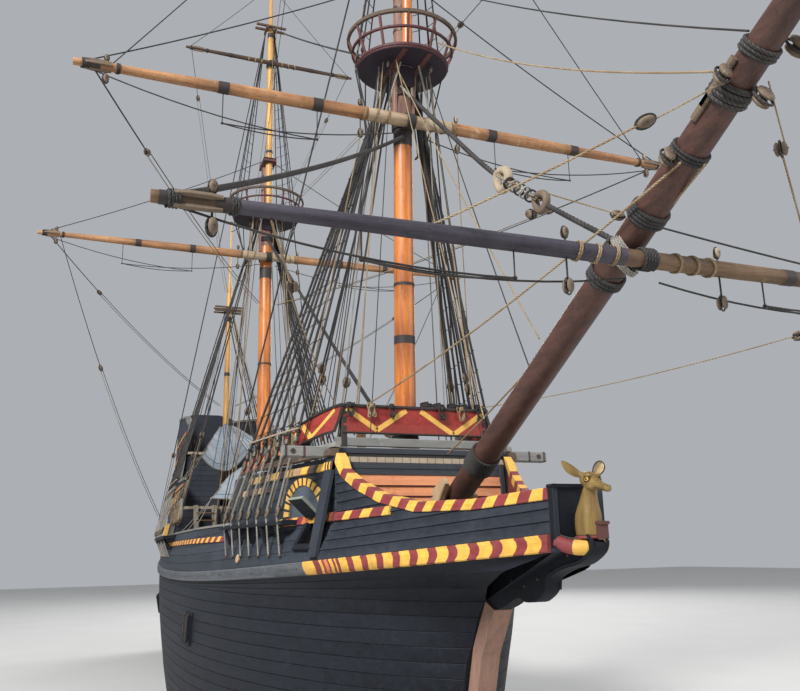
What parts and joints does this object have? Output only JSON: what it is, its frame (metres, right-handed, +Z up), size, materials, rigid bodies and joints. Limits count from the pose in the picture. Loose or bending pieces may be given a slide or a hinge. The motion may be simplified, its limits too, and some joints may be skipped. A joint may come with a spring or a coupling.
{
  "type": "three-masted galleon",
  "caption": "Wooden galleon afloat: castles fore and aft, beak with a hind figurehead, masts whose yards brace round, a hinged rudder, doors and lifting gunport lids.",
  "frame": {"origin": "amidships on the centreline, at the waterline", "axes": "+X forward to the bow, +Y to port, +Z up"},
  "size_m": [35.636, 14.76, 31.7217],
  "materials": {
    "tarred_planking": "painted or tarred, weathered",
    "bare_timber": "painted or tarred, weathered",
    "red_paint": "painted or tarred, weathered",
    "yellow_paint": "painted or tarred, weathered",
    "deck_planking": "painted or tarred, weathered",
    "varnished_pine": "painted or tarred, weathered",
    "weathered_spar": "painted or tarred, weathered",
    "purple_spar": "painted or tarred, weathered",
    "dark_spar": "painted or tarred, weathered",
    "grey_wale": "painted or tarred, weathered",
    "maroon_paint": "painted or tarred, weathered",
    "khaki_paint": "painted or tarred, weathered",
    "orange_clapboard": "painted or tarred, weathered",
    "lid_paint": "painted or tarred, weathered",
    "awning_canvas": "matt canvas",
    "tarred_rope": "tarred hemp",
    "hemp_rope": "bare hemp",
    "wrought_iron": "rusty black"
  },
  "bodies": {
    "hull": {"hull": "tarred_planking", "knee_of_the_head": "tarred_planking", "beak_side_starboard": "tarred_planking", "beak_side_port": "tarred_planking", "forecastle_side_starboard": "tarred_planking", "forecastle_side_port": "tarred_planking", "after_castle_side_starboard": "tarred_planking", "after_castle_side_port": "tarred_planking", "fore_channel_starboard": "tarred_planking", "fore_channel_port": "tarred_planking", "main_channel_starboard": "tarred_planking", "main_channel_port": "tarred_planking", "transom": "tarred_planking", "keel_stem_and_sternpost": "bare_timber", "cathead_beam": "bare_timber", "wale_starboard": "grey_wale", "wale_port": "grey_wale", "beak_rail_starboard": "yellow_paint", "beak_rail_port": "yellow_paint", "beak_platform": "deck_planking", "forecastle_deck": "deck_planking", "main_hatch": "deck_planking", "half_deck": "deck_planking", "poop_deck": "deck_planking", "forecastle_front_bulkhead": "orange_clapboard", "forecastle_aft_bulkhead": "red_paint", "forecastle_breastwork": "red_paint", "waist_side_starboard": "red_paint", "waist_side_port": "red_paint", "half_deck_bulkhead": "red_paint", "poop_bulkhead": "red_paint", "foremast": "varnished_pine", "mainmast": "varnished_pine", "mizzenmast": "varnished_pine", "fore_topmast": "varnished_pine", "main_topmast": "varnished_pine", "fore_top": "maroon_paint", "main_top": "maroon_paint", "bowsprit": "dark_spar", "main_stay": "tarred_rope", "mizzen_stay": "tarred_rope", "fore_stay": "tarred_rope", "waist_awning": "awning_canvas", "half_deck_awning": "awning_canvas", "figurehead": "khaki_paint"},
    "rudder": {"rudder": "tarred_planking"},
    "forecastle_door": {"forecastle_door": "red_paint"},
    "half_deck_door": {"half_deck_door": "red_paint"},
    "gunport_lid_starboard_1": {"gunport_lid_starboard_1": "lid_paint"},
    "gunport_lid_starboard_2": {"gunport_lid_starboard_2": "lid_paint"},
    "gunport_lid_port_1": {"gunport_lid_port_1": "lid_paint"},
    "gunport_lid_port_2": {"gunport_lid_port_2": "lid_paint"},
    "forecastle_port_lid_starboard": {"forecastle_port_lid_starboard": "lid_paint"},
    "forecastle_port_lid_port": {"forecastle_port_lid_port": "lid_paint"},
    "fore_yard": {"fore_yard": "weathered_spar"},
    "fore_topsail_yard": {"fore_topsail_yard": "weathered_spar"},
    "main_yard": {"main_yard": "weathered_spar"},
    "main_topsail_yard": {"main_topsail_yard": "weathered_spar"},
    "spritsail_yard": {"spritsail_yard": "purple_spar"}
  },
  "joints": [
    {"name": "rudder_swing", "type": "hinge", "parent": "hull", "child": "rudder", "pos_m": [-10.0161, 0, -4], "axis": [-0.3438, 0, 0.939], "range_deg": [-35, 35]},
    {"name": "forecastle_door_swing", "type": "hinge", "parent": "hull", "child": "forecastle_door", "pos_m": [6.0005, -0.4, 3.38899], "axis": [0, 0, 1], "range_deg": [0, 105]},
    {"name": "half_deck_door_swing", "type": "hinge", "parent": "hull", "child": "half_deck_door", "pos_m": [-4.4, 0.5, 3.348], "axis": [0, 0, -1], "range_deg": [0, 105]},
    {"name": "gunport_lid_starboard_1_lift", "type": "hinge", "parent": "hull", "child": "gunport_lid_starboard_1", "pos_m": [3.90286, -3.16049, 2.25746], "axis": [-0.9988, -0.0486, 0], "range_deg": [0, 95]},
    {"name": "gunport_lid_starboard_2_lift", "type": "hinge", "parent": "hull", "child": "gunport_lid_starboard_2", "pos_m": [-6.61976, -2.77326, 2.26177], "axis": [-0.9894, 0.1449, 0], "range_deg": [0, 95]},
    {"name": "gunport_lid_port_1_lift", "type": "hinge", "parent": "hull", "child": "gunport_lid_port_1", "pos_m": [3.90286, 3.16049, 2.25746], "axis": [0.9988, -0.0486, 0], "range_deg": [0, 95]},
    {"name": "gunport_lid_port_2_lift", "type": "hinge", "parent": "hull", "child": "gunport_lid_port_2", "pos_m": [-6.61976, 2.77326, 2.26177], "axis": [0.9894, 0.1449, 0], "range_deg": [0, 95]},
    {"name": "forecastle_port_lid_starboard_lift", "type": "hinge", "parent": "hull", "child": "forecastle_port_lid_starboard", "pos_m": [10.32485, -1.93193, 4.17248], "axis": [-0.9735, -0.2287, 0], "range_deg": [-100, 8]},
    {"name": "forecastle_port_lid_port_lift", "type": "hinge", "parent": "hull", "child": "forecastle_port_lid_port", "pos_m": [10.32485, 1.93193, 4.17248], "axis": [0.9735, -0.2287, 0], "range_deg": [-100, 8]},
    {"name": "fore_yard_brace", "type": "hinge", "parent": "hull", "child": "fore_yard", "pos_m": [9.68, 0, 0], "axis": [0.0349, 0, 0.9994], "range_deg": [-30, 30]},
    {"name": "fore_topsail_yard_brace", "type": "hinge", "parent": "hull", "child": "fore_topsail_yard", "pos_m": [9.98781, 0, -0.01075], "axis": [0.0349, 0, 0.9994], "range_deg": [-30, 30]},
    {"name": "main_yard_brace", "type": "hinge", "parent": "hull", "child": "main_yard", "pos_m": [-2.51, 0, 0], "axis": [-0.0262, 0, 0.9997], "range_deg": [-30, 30]},
    {"name": "main_topsail_yard_brace", "type": "hinge", "parent": "hull", "child": "main_topsail_yard", "pos_m": [-2.17012, 0, 0.0089], "axis": [-0.0262, 0, 0.9997], "range_deg": [-30, 30]},
    {"name": "spritsail_yard_brace", "type": "hinge", "parent": "hull", "child": "spritsail_yard", "pos_m": [17.0572, 0, 7.0802], "axis": [-0.4695, 0, 0.8829], "range_deg": [-30, 30]}
  ]
}
